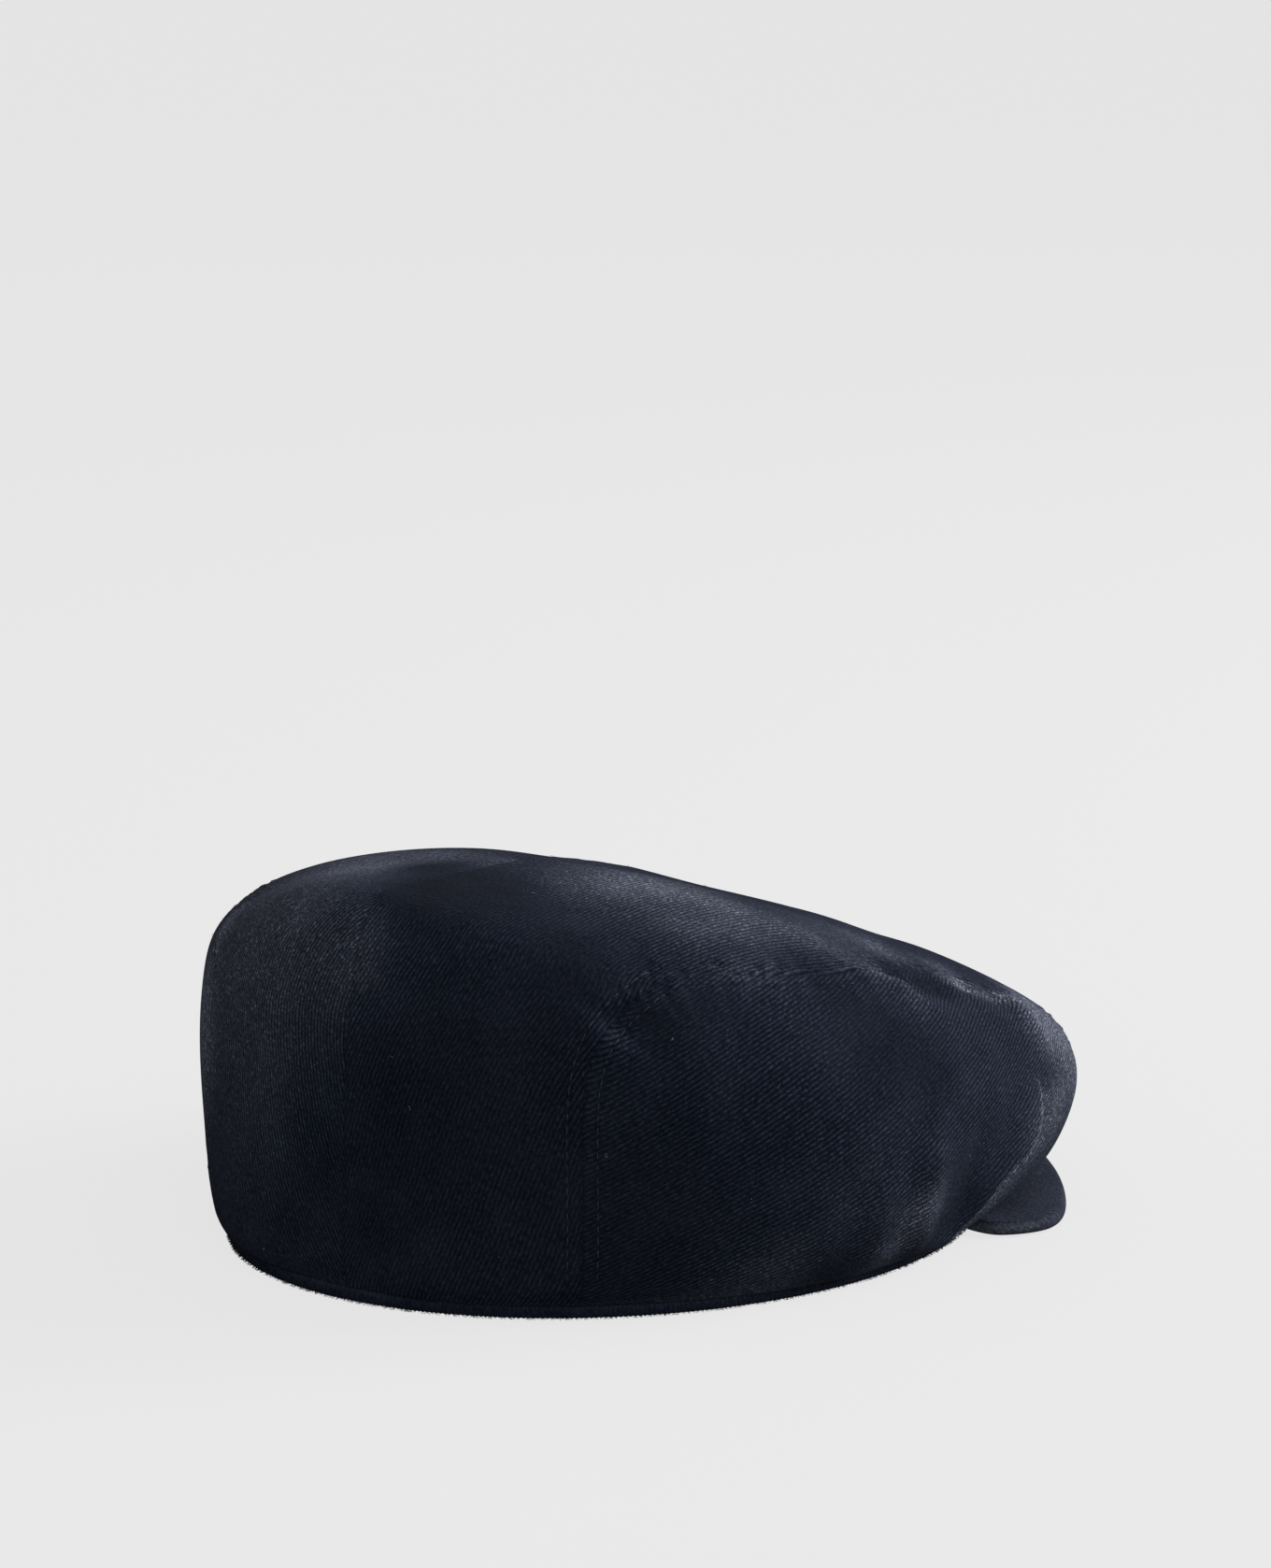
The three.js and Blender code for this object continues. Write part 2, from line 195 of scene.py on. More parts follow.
# Each fold of the cloth runs from one place to another, with its half width and how far it stands out or in.
FOLD_COLUMNS = ("from_angle", "from_share", "to_angle", "to_share", "width", "height")
FOLDS = (
    (54.5, 0.522, 60, 0.502, 4.5, 1.9),
    (58, 0.552, 62.5, 0.515, 5.5, -2.4),
    (66, 0.6, 80, 0.56, 9, -0.8),
    (106, 0.728, 111, 0.695, 4.5, 1.4),
    (111, 0.695, 114, 0.64, 4.5, 1.4),
    (117, 0.72, 123, 0.7, 5.5, -2),
    (130.5, 0.695, 133.5, 0.67, 4, -1.2),
    (139, 0.66, 133.5, 0.62, 4.5, 1),
    (133.5, 0.62, 133, 0.58, 5, 1.2),
    (133, 0.58, 140, 0.486, 6, 1.2),
    (122, 0.62, 126, 0.52, 9, -0.6),
    (106, 0.28, 108.5, 0.13, 5.5, 1.9),
    (116, 0.245, 117, 0.115, 6.5, -1.3),
    (98.5, 0.23, 100, 0.13, 6, 1.1),
    (88, 0.22, 90, 0.12, 7, 0.7),
    (145, 0.26, 152, 0.16, 9, -1.4),
    (-57, 0.52, -66, 0.5, 10, -0.6),
    (-104, 0.7, -112, 0.62, 8, 1.4),
    (-128, 0.45, -124, 0.15, 9, 2),
    (-108, 0.25, -110, 0.1, 8, 1.6),
    (-146, 0.3, -156, 0.2, 12, -2),
)


def section_at(angle):
    """The sizes of the section at each angle, blended smoothly between the rows and mirrored at both ends."""
    rows = np.array([SECTIONS[key] for key in sorted(SECTIONS)], float)
    last = len(rows) - 1
    from_back = np.abs((angle + 180) % 360 - 180) / SECTION_STEP
    index = np.minimum(from_back.astype(int), last - 1)
    f = (from_back - index)[..., None]
    a, b, c, d = (rows[last - np.abs(last - np.abs(index + k))] for k in (-1, 0, 1, 2))
    sizes = b + 0.5 * ((c - a) * f + (2 * a - 5 * b + 4 * c - d) * f**2 + (3 * b - a - 3 * c + d) * f**3)
    return dict(zip(SECTION_COLUMNS, np.moveaxis(sizes, -1, 0)))


def hem_radius(angle):
    """Distance from the crown's axis to the hem's outer face."""
    turn = np.radians(angle)
    across, along = np.sin(turn) / HEM_HALF_WIDTH, np.cos(turn) / HEM_HALF_LENGTH
    axis = CROWN_AXIS_Y / HEM_HALF_LENGTH
    square, half = across**2 + along**2, axis * along
    return (np.sqrt(half**2 + square * (1 - axis**2)) - half) / square


def spline(control, t):
    """The value of a clamped cubic B-spline with these control values, at t from 0 to 1."""
    spans = len(control) - 3
    control = np.stack(np.broadcast_arrays(*control))
    first = np.minimum(np.floor(t * spans), spans - 1).astype(int)
    points = [np.take_along_axis(control, (first + k)[None], 0)[0] for k in range(4)]
    for level in (1, 2, 3):
        for j in range(4 - level):
            start = np.clip((first + level + j - 3) / spans, 0, 1)
            end = np.clip((first + 1 + j) / spans, 0, 1)
            points[j] = points[j] + (points[j + 1] - points[j]) * (t - start) / (end - start)
    return points[0]


def hem_height(angle):
    """Height of the crown's lower edge, which droops over the band except beside the peak."""
    from_back = np.abs((angle + 180) % 360 - 180)
    return section_at(angle)["hem"] * (1 - HEM_DROOP * (1 - smooth_step(from_back, *DROOP_ENDS)))


def skin(angle, share, depth=0):
    """Points of the smooth crown, a depth inside its outer face, about the middle of the hem."""
    angle, share = np.broadcast_arrays(np.asarray(angle, float), np.clip(share, 0, 1))
    size = section_at(angle)
    rim, reach = hem_radius(angle), size["reach"]
    radius = spline(
        [rim - HEM_OVERLAP, rim + size["tuck"] - depth, reach - depth, reach - depth,
         reach * SHOULDER_SHARE - depth * 0.7, reach * size["top"], 0 * rim],
        share,
    )
    top = CROWN_TOP - depth + 0 * rim
    z = spline(
        [hem_height(angle) + depth, hem_height(angle) + depth, size["low"], size["high"] - depth / 2,
         size["shoulder"] - depth * 0.7, top, top],
        share,
    )
    turn = np.radians(angle)
    return np.stack([-np.sin(turn) * radius, CROWN_AXIS_Y + np.cos(turn) * radius, z], -1)


def spot(angle, share):
    """A place on the crown laid out as a disk: its middle is the top, its edge the hem, and +y the back."""
    turn = np.radians(angle)
    return np.stack([np.sin(turn) * (1 - share), np.cos(turn) * (1 - share)], -1)


def angle_and_share(spots):
    return np.degrees(np.arctan2(spots[..., 0], spots[..., 1])), 1 - np.hypot(spots[..., 0], spots[..., 1])


def skin_at(spots, depth=0):
    return skin(*angle_and_share(spots), depth)


def outward(spots):
    """The direction that the smooth crown faces at each place."""
    step = 0.004
    across = skin_at(spots + (step, 0)) - skin_at(spots - (step, 0))
    along = skin_at(spots + (0, step)) - skin_at(spots - (0, step))
    facing = np.cross(along, across)
    return facing / np.linalg.norm(facing, axis=-1, keepdims=True)


def smooth_step(x, low, high):
    """A soft rise from 0 at low to 1 at high."""
    t = np.clip((x - low) / (high - low), 0, 1)
    return t * t * (3 - 2 * t)


LEFT_SEAM = tuple(
    (angle - LEFT_SEAM_BACK * smooth_step(share, 0.45, 0.58) * (1 - smooth_step(angle, 72, 100)), share)
    for angle, share in SIDE_SEAM
)


def smooth_curve(knots):
    """A smooth curve through knots of a plane, as a function of the share of its length."""
    padded = np.concatenate([knots[:1], knots, knots[-1:]])
    t = np.linspace(0, 1, 60, endpoint=False)[:, None]
    pieces = []
    for a, b, c, d in zip(padded, padded[1:], padded[2:], padded[3:]):
        u, v = (c - a) / 2, (d - b) / 2
        pieces.append((2 * b - 2 * c + u + v) * t**3 + (3 * c - 3 * b - 2 * u - v) * t**2 + u * t + b)
    line = np.concatenate([*pieces, knots[-1:]])
    lengths = np.concatenate([[0], np.cumsum(np.linalg.norm(np.diff(line, axis=0), axis=1))])

    def at(share):
        reach = np.asarray(share) * lengths[-1]
        return np.stack([np.interp(reach, lengths, line[:, k]) for k in (0, 1)], -1)

    return at


def seam_curve(places, side=1):
    """The places of a seam as one smooth curve of the disk. Side -1 mirrors it to the wearer's left."""
    return smooth_curve(np.array([spot(angle, share) for angle, share in places]) * (side, 1))


def seam_track(curve):
    """A seam's points on the smooth crown, its directions and the distance sewn up to each."""
    points = skin_at(curve(np.linspace(0, 1, SEAM_POINTS)))
    steps = np.gradient(points, axis=0)
    sewn = np.concatenate([[0], np.cumsum(np.linalg.norm(np.diff(points, axis=0), axis=1))])
    return points, steps / np.linalg.norm(steps, axis=1, keepdims=True), sewn


def from_seam(points, track):
    """Distance of each point from a seam, and how far along the seam it lies."""
    line, direction, sewn = track
    flat = points.reshape(-1, 3)
    distance, along = np.empty(len(flat)), np.empty(len(flat))
    for start in range(0, len(flat), POINTS_AT_ONCE):
        some = slice(start, start + POINTS_AT_ONCE)
        nearest = ((flat[some, None] - line[None]) ** 2).sum(-1).argmin(1)
        gap = flat[some] - line[nearest]
        forward = (gap * direction[nearest]).sum(-1)
        distance[some] = np.linalg.norm(gap - forward[:, None] * direction[nearest], axis=-1)
        along[some] = sewn[nearest] + forward
    return distance.reshape(points.shape[:-1]), along.reshape(points.shape[:-1])


right_seam = seam_curve(SIDE_SEAM)
left_seam = seam_curve(LEFT_SEAM, side=-1)
centre_seam = seam_curve(CENTRE_SEAM)
right_track, left_track, centre_track = (seam_track(curve) for curve in (right_seam, left_seam, centre_seam))


def bump_row(distance, middle, width, height):
    """A rounded rise, or a dip where height is negative, at one distance from a line."""
    return height * np.exp(-(((distance - middle) / width) ** 2))


def lumps(points):
    """Small uneven lumps about 3 mm apart, from -1 to 1."""
    total = 0
    for k in range(7):
        way = np.array([math.cos(2.4 * k), math.sin(2.4 * k), math.sin(1.7 * k + 1)])
        total = total + np.sin(points @ way * (1.6 + 0.25 * k) + 1.9 * k * k)
    return total / 3.5


def side_seam_relief(points, track):
    """The side seam's groove, its two sewn-down rows with a welt between, and its top branch's puckers."""
    distance, along = from_seam(points, track)
    turn = smooth_step(along, 50, 90)
    gather = 0.05 + 0.1 * turn
    wave = np.sin(along * 2 * np.pi / 7.6 + 1.3 * np.sin(along / 11)) + 0.6 * np.sin(along * 2 * np.pi / 5.3)
    pucker = gather * wave * np.exp(-((distance / 10) ** 2)) * smooth_step(distance, 0.3, 2)
    pucker = pucker + (0.04 + 0.24 * turn) * lumps(points) * np.exp(-((distance / 6) ** 2))
    groove = -0.1 * (1 - 0.95 * turn * (0.65 + 0.35 * np.sin(along * 0.7 + 2 * np.sin(along / 5))))
    return (
        bump_row(distance, 0, 0.6, 1) * groove + bump_row(distance, 1.8, 1.1, 0.1)
        + bump_row(distance, ROW_OFFSET, 0.6, -0.16) + bump_row(distance, 5.2, 1.4, 0.06) + pucker
    )


def centre_seam_relief(points):
    """The centre seam's shallow groove and the faint waves beside it."""
    distance, along = from_seam(points, centre_track)
    wave = 0.06 * np.sin(along * 2 * np.pi / 9 + np.sin(along / 13)) * np.exp(-((distance / 6) ** 2))
    return bump_row(distance, 0, 0.5, -0.08) + bump_row(distance, 1.6, 1.1, 0.03) + wave


# Beside the front the cloth of each side ends in an overhanging fold. It stands out behind its edge and drops
# away in front of it. These are the places of its edge, share and angle.
FRONT_FOLD = (
    (0.04, 115.5), (0.105, 118), (0.141, 119.5), (0.196, 122), (0.224, 124.3), (0.245, 126.6), (0.284, 127.8),
    (0.359, 128), (0.439, 129), (0.52, 131),
)
FRONT_FOLD_HEIGHT = 2.2
FRONT_FOLD_DROP = 3
LEFT_FOLD_STRENGTH = 0.5
RIGHT_FOLD_WIDTH = 1.3
LEFT_FOLD_WIDTH = 4


def past_front_fold(points, spots):
    """How far each point lies past the edge of the fold, and how strong the fold is there."""
    angle, share = angle_and_share(spots)
    edge_angle = np.interp(share, *zip(*FRONT_FOLD))
    radius = np.hypot(points[..., 0], points[..., 1] - CROWN_AXIS_Y)
    strength = np.where(angle > 0, 1, LEFT_FOLD_STRENGTH)
    strength = strength * smooth_step(share, 0.03, 0.1) * (1 - smooth_step(share, 0.32, 0.46))
    return np.radians(np.abs(angle) - edge_angle) * radius, strength


def front_fold_relief(points, spots):
    """How far the overhanging fold stands out, or drops in where that is negative."""
    past, strength = past_front_fold(points, spots)
    drop = FRONT_FOLD_DROP * (1 - 0.6 * smooth_step(angle_and_share(spots)[1], 0.2, 0.34))
    behind = FRONT_FOLD_HEIGHT * np.exp(-((np.minimum(past, 0) / 9) ** 2))
    fallen = FRONT_FOLD_HEIGHT + drop * np.exp(-((np.maximum(past, 0) / 14) ** 2))
    width = np.where(points[..., 0] < 0, RIGHT_FOLD_WIDTH, LEFT_FOLD_WIDTH)
    return strength * (behind - fallen * smooth_step(past, 0, width))


# The pile is brushed this way and that, so that it looks paler in some places and darker in others, and light
# and
# shade are painted on as well: painted highlights along the top's lit edges, the front edge and the left
# outline, and painted shade in hollows beside the folds. Each has its angle and share, its half width, and
# how much paler it
# is, or darker where that is negative: at -1 it is half as bright.
NAP_AND_PAINTED_LIGHT_COLUMNS = ("angle", "share", "width", "stops")
NAP_AND_PAINTED_LIGHT_PLACES = (
    (100, 0.83, 28, 0.42),
    (82, 0.84, 9, 0.45),
    (95, 0.83, 9, 0.35),
    (109, 0.81, 10, 0.6),
    (77, 0.93, 17, 0.75),
    (110, 0.93, 18, 0.8),
    (128, 0.79, 12, 0.7),
    (99.5, 0.923, 8, 0.9),
    (104, 0.89, 8, 0.9),
    (108, 0.86, 7, 0.6),
    (134, 0.735, 6, 0.7),
    (127, 0.775, 6, 0.4),
    (-52, 0.975, 12, 0.3),
    (-70, 0.92, 22, 0.8),
    (-50, 0.78, 22, 0.42),
    (-17, 0.67, 22, 0.5),
    (-56, 0.895, 9, 0.7),
    (-35, 0.945, 10, -1),
    (6, 0.68, 8, 0.5),
    (5, 0.55, 8, 0.35),
    (-25, 0.45, 24, 0.2),
    (10, 0.6, 14, 0.2),
    (5, 0.92, 19, -0.75),
    (12, 0.79, 11, -0.8),
    (45, 0.88, 14, -0.3),
    (52, 0.72, 12, -0.5),
    (74, 0.69, 10, -0.4),
    (97, 0.745, 12, -0.6),
    (100, 0.6, 16, -0.55),
    (106, 0.49, 9, -0.35),
    (119, 0.735, 5, -0.7),
    (124.5, 0.715, 5, -0.9),
    (131, 0.705, 3, 1.2),
    (110.5, 0.725, 4, 0.8),
    (111.5, 0.68, 6, 0.6),
    (135, 0.595, 7, 3),
    (143, 0.635, 7, 1.6),
    (139, 0.53, 9, 1.1),
    (143, 0.48, 18, 1.5),
    (57.5, 0.511, 4, 0.3),
    (64, 0.6, 7, -0.3),
    (126.5, 0.32, 7, 0.35),
    (132, 0.24, 12, 0.4),
    (106.5, 0.2, 6, 1.3),
    (98, 0.25, 30, 0.12),
    (117, 0.185, 8, -0.5),
    (-50, 0.5, 36, 0.35),
    (-57, 0.46, 10, 2.4),
    (-58, 0.34, 12, 2),
    (-25, 0.3, 20, 0.2),
    (-54, 0.6, 5, 1.3),
    (-53.5, 0.66, 5, 1),
    (104, 0.1, 8, 0.8),
    (86, 0.05, 13, 0.6),
    (92, 0.13, 6, -0.4),
    (74, 0.05, 12, 0.3),
    (94, 0.08, 8, -0.2),
    (0, 0.1, 10, 0.2),
    (28, 0.42, 45, -0.35),
    (60, 0.2, 30, -0.3),
    (5, 0.15, 30, -0.3),
)
# Painted light: a highlight is painted on the cloth just above the hem, and the crown's lower edge, which
# turns under and would lie in shade, is painted paler.
HEM_PAINTED_HIGHLIGHT = 0.5
HEM_EDGE_PAINTED_LIGHT = 1.2
# Painted light: a thin highlight is painted along the front fold's edge, and the cloth just behind that edge
# and the cloth past it are painted paler, as the lamp on the peak's side would light them.
FOLD_EDGE_PAINTED_HIGHLIGHT = 3
BEHIND_FOLD_PAINTED_LIGHT = 0.3
PAST_FOLD_PAINTED_LIGHT = 1.1
# Painted light and shade: the seams' rises are painted paler and their grooves darker.
RELIEF_PAINTED_SHADING = 0.8
# Painted highlight on the puckered cloth beside the side seam's top branch, strongest at the front corner.
SEAM_PAINTED_HIGHLIGHT = 0.25
CORNER_HIGHLIGHT_GAIN = 4
# The panels' inner faces are drawn darker, by this many stops.
INSIDE_DARKER = -0.8


def nap_and_painted_light_at(points, spots):
    """How much paler or darker the cloth is drawn at each place: partly its brushed pile, partly painted
    light and shade, such as the painted highlights above the hem and along the front fold.
    """
    past, strength = past_front_fold(points, spots)
    share = angle_and_share(spots)[1]
    behind = bump_row(past, -1.5, 3, BEHIND_FOLD_PAINTED_LIGHT) * smooth_step(share, 0.2, 0.3)
    edge = bump_row(past, -0.2, 0.7, FOLD_EDGE_PAINTED_HIGHLIGHT) + behind
    total = bump_row(share, 0.035, 0.03, HEM_PAINTED_HIGHLIGHT) + bump_row(share, 0, 0.014, HEM_EDGE_PAINTED_LIGHT) + strength * edge
    total = total + strength * PAST_FOLD_PAINTED_LIGHT * smooth_step(past, 0.5, 2.5) * (1 - smooth_step(past, 10, 24))
    for place in NAP_AND_PAINTED_LIGHT_PLACES:
        place = dict(zip(NAP_AND_PAINTED_LIGHT_COLUMNS, place))
        distance = np.linalg.norm(points - skin(place["angle"], place["share"]), axis=-1)
        total = total + bump_row(distance, 0, place["width"], place["stops"])
    return total


def painted_seam_highlight(angle, share):
    """Painted highlight: how much paler the puckered cloth beside the side seam's top branch is drawn, most
    of all at the front corner.
    """
    from_back = np.abs(angle)
    above = share - np.interp(from_back, *zip(*SIDE_SEAM[5:]))
    side = smooth_step(from_back, 60, 74) * (1 - smooth_step(from_back, 112, 122))
    corner = smooth_step(from_back, 124, 132) * (1 - smooth_step(from_back, 143, 152))
    return side * bump_row(above, 0, 0.035, 1) + corner * bump_row(above, -0.01, 0.025, CORNER_HIGHLIGHT_GAIN)


def fold_relief(points, share):
    """How far the folds push the cloth out, fading at the hem, where the band holds it."""
    total = 0
    for fold in FOLDS:
        fold = dict(zip(FOLD_COLUMNS, fold))
        start = skin(fold["from_angle"], fold["from_share"])
        line = skin(fold["to_angle"], fold["to_share"]) - start
        t = np.clip((points - start) @ line / (line @ line), 0, 1)
        distance = np.linalg.norm(points - start - t[..., None] * line, axis=-1)
        total = total + bump_row(distance, 0, fold["width"], fold["height"])
    return total * smooth_step(share, 0.03, 0.13)


def slack_relief(points):
    """The faint unevenness of cloth that nothing holds tight."""
    x, y, z = np.moveaxis(points, -1, 0)
    wide = np.sin(x / 13 + 1.7 * np.sin(y / 23 + z / 31)) * np.sin(y / 17 + z / 12 + 0.6)
    small = np.sin(x / 6.1 - z / 7.3 + 1.4 * np.sin(y / 9)) * np.sin(y / 7.7 + z / 9.1 + 2)
    return 0.35 * wide + 0.12 * small


def cloth_at(spots, relief, depth=0):
    """Points of the dressed cloth: the smooth crown with its folds, slack and seams."""
    share = angle_and_share(spots)[1]
    points = skin_at(spots)
    fine = slack_relief(points) + relief(points)
    height = fold_relief(points, share) + front_fold_relief(points, spots)
    height = height + fine * smooth_step(share, 0.01, 0.07)
    return skin_at(spots, depth) + outward(spots) * height[..., None]


def between(edges, u, v):
    """Places of the disk inside four edge curves, blended from all of them."""
    bottom, top, left, right = edges
    u, v = u[..., None], v[..., None]
    lengthways = bottom(u[..., 0]) * (1 - v) + top(u[..., 0]) * v
    crossways = left(v[..., 0]) * (1 - u) + right(v[..., 0]) * u
    ends = bottom(0) * (1 - u) * (1 - v) + bottom(1) * u * (1 - v) + top(0) * (1 - u) * v + top(1) * u * v
    return lengthways + crossways - ends


def denser_ends(count, strength):
    """Shares from 0 to 1 that lie closer together near both ends."""
    t = np.linspace(0, 1, count)
    return t - strength * np.sin(2 * np.pi * t) / (2 * np.pi)


def mesh_piece(name, points, faces):
    """A piece from points in millimetres about the middle of the hem."""
    mesh = bpy.data.meshes.new(name)
    place = np.asarray(points, float).reshape(-1, 3) * MILLIMETRE + np.array(hem_middle)
    mesh.from_pydata(place.tolist(), [], faces)
    mesh.validate()
    mesh.shade_smooth()
    piece = bpy.data.objects.new(name, mesh)
    bpy.context.collection.objects.link(piece)
    return piece


def store_nap_and_painted_light(piece, stops):
    """Stores how much paler or darker a piece is drawn at each point, by the lay of its pile and by painted
    light and shade.
    """
    nap_and_painted_light = piece.data.attributes.new("nap_and_painted_light", "FLOAT", "POINT")
    nap_and_painted_light.data.foreach_set("value", np.asarray(stops, float).ravel())


def panel(name, node, edges, relief, u, v, finish, lean, lay_and_painted_light):
    """One panel of the crown: a wall of velvet with an outer face, an inner face and edges between them.
    The last argument is a function of angle and share that says how much paler the panel is drawn there,
    where its pile lies differently or a highlight is painted on."""
    grid = between(edges, *np.meshgrid(u, v))
    outer, inner = cloth_at(grid, relief), cloth_at(grid, relief, CLOTH_THICKNESS)
    rows, columns = grid.shape[:2]
    index = np.arange(rows * columns).reshape(rows, columns)
    quads = np.stack([index[:-1, :-1], index[:-1, 1:], index[1:, 1:], index[1:, :-1]], -1).reshape(-1, 4)
    ring = np.concatenate([index[0, :-1], index[:-1, -1], index[-1, :0:-1], index[:0:-1, 0]])
    after = np.roll(ring, -1)
    under = index.size
    sides = np.stack([ring, ring + under, after + under, after], -1)
    faces = np.concatenate([quads, quads[:, ::-1] + under, sides])
    facing = np.cross(outer[1, 1] - outer[0, 0], outer[0, 1] - outer[1, 0])
    if facing @ outward(grid[0, 0]) < 0:
        faces = faces[:, ::-1]
    piece = mesh_piece(name, np.concatenate([outer.reshape(-1, 3), inner.reshape(-1, 3)]), faces.tolist())
    lay_ribs(piece, grid, lean)
    angle, share = angle_and_share(grid)
    # The stops hold the pile's lay and painted light and shade, with the seams' relief painted paler on its
    # rises and darker in its grooves.
    stops = nap_and_painted_light_at(outer, grid) + RELIEF_PAINTED_SHADING * relief(skin_at(grid)) + lay_and_painted_light(angle, share)
    store_nap_and_painted_light(piece, [stops, np.full_like(stops, INSIDE_DARKER)])
    piece.data.materials.append(finish)
    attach(piece, "root")
    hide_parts(node)


FITTED_LINES = 120
FITTING_STEPS = 600


def field_heights(points, field):
    """The heights whose slope over a grid of points follows a field of unit vectors as closely as it can."""
    ahead = [np.diff(points, axis=k) for k in (0, 1)]
    middle = [(field[1:] + field[:-1]) / 2, (field[:, 1:] + field[:, :-1]) / 2]
    rise = [(step * vector).sum(-1) for step, vector in zip(ahead, middle)]
    size = [np.linalg.norm(step, axis=-1) + 1e-3 for step in ahead]
    wide = [np.pad(size[1], ((0, 0), (0, 1)), "edge"), np.pad(size[0], ((0, 1), (0, 0)), "edge")]
    pull = [(wide[0][1:] + wide[0][:-1]) / 2 / size[0], (wide[1][:, 1:] + wide[1][:, :-1]) / 2 / size[1]]
    pull = [np.clip(weight, 0.02, 50) for weight in pull]

    def gathered(down, right):
        total = np.zeros(points.shape[:2])
        total[1:] += down
        total[:-1] -= down
        total[:, 1:] += right
        total[:, :-1] -= right
        return total

    spread = gathered(pull[0] * 0, pull[1] * 0)
    spread[1:] += pull[0]
    spread[:-1] += pull[0]
    spread[:, 1:] += pull[1]
    spread[:, :-1] += pull[1]
    heights = np.zeros(points.shape[:2])
    left = gathered(pull[0] * rise[0], pull[1] * rise[1])
    eased = left / spread
    way, power = eased, (left * eased).sum()
    for _ in range(FITTING_STEPS):
        turned = gathered(pull[0] * np.diff(way, axis=0), pull[1] * np.diff(way, axis=1))
        step = power / (way * turned).sum()
        heights, left = heights + step * way, left - step * turned
        eased = left / spread
        before, power = power, (left * eased).sum()
        way = eased + way * power / before
    return heights


def lay_ribs(piece, grid, lean):
    """Stores the velvet's flat coordinates, x across its ribs and y along them. lean gives the ribs' angle
    from the panel's upright direction, in degrees, at the shares (u, v) of the panel."""
    rows, columns = grid.shape[:2]
    few_rows, few_columns = (
        np.unique(np.linspace(0, count - 1, min(count, FITTED_LINES)).astype(int))
        for count in (rows, columns)
    )
    points = skin_at(grid[np.ix_(few_rows, few_columns)])
    up, across = np.gradient(points, axis=0), np.gradient(points, axis=1)
    up /= np.linalg.norm(up, axis=-1, keepdims=True) + 1e-6
    across -= up * (across * up).sum(-1, keepdims=True)
    across /= np.linalg.norm(across, axis=-1, keepdims=True) + 1e-6
    u, v = np.meshgrid(few_columns / (columns - 1), few_rows / (rows - 1))
    turn = np.radians(lean(u, v))[..., None]
    flat = []
    for field in (np.cos(turn) * across - np.sin(turn) * up, np.cos(turn) * up + np.sin(turn) * across):
        height = field_heights(points, field)
        height = np.array([np.interp(np.arange(columns), few_columns, line) for line in height])
        flat.append(np.array([np.interp(np.arange(rows), few_rows, line) for line in height.T]).T)
    store_flat(piece, np.stack(flat, -1))


def store_flat(piece, flat):
    """Stores flat coordinates, in millimetres for each point, as the layer that the velvet is laid by."""
    flat = np.asarray(flat).reshape(-1, 2) * MILLIMETRE
    layer = piece.data.uv_layers.new(name="cloth")
    corners = np.empty(len(piece.data.loops), np.int32)
    piece.data.loops.foreach_get("vertex_index", corners)
    layer.data.foreach_set("uv", flat[corners % len(flat)].ravel())


RIB_PITCH = 0.00107  # in metres, as all sizes in the materials are
# The ribs' valleys are darker than their crests, partly the cloth's own tone and partly painted shade in the
# grooves. The pale colour is both the pale brushed pile and painted highlight.
VALLEY_COLOUR_AND_SHADE = (0.0080, 0.0114, 0.0222, 1)
CREST_COLOUR = (0.0440, 0.0535, 0.0830, 1)
PALE_PILE_AND_HIGHLIGHT_COLOUR = (0.140, 0.151, 0.196, 1)
PILE_TINT = (0.82, 0.86, 1.0, 1)


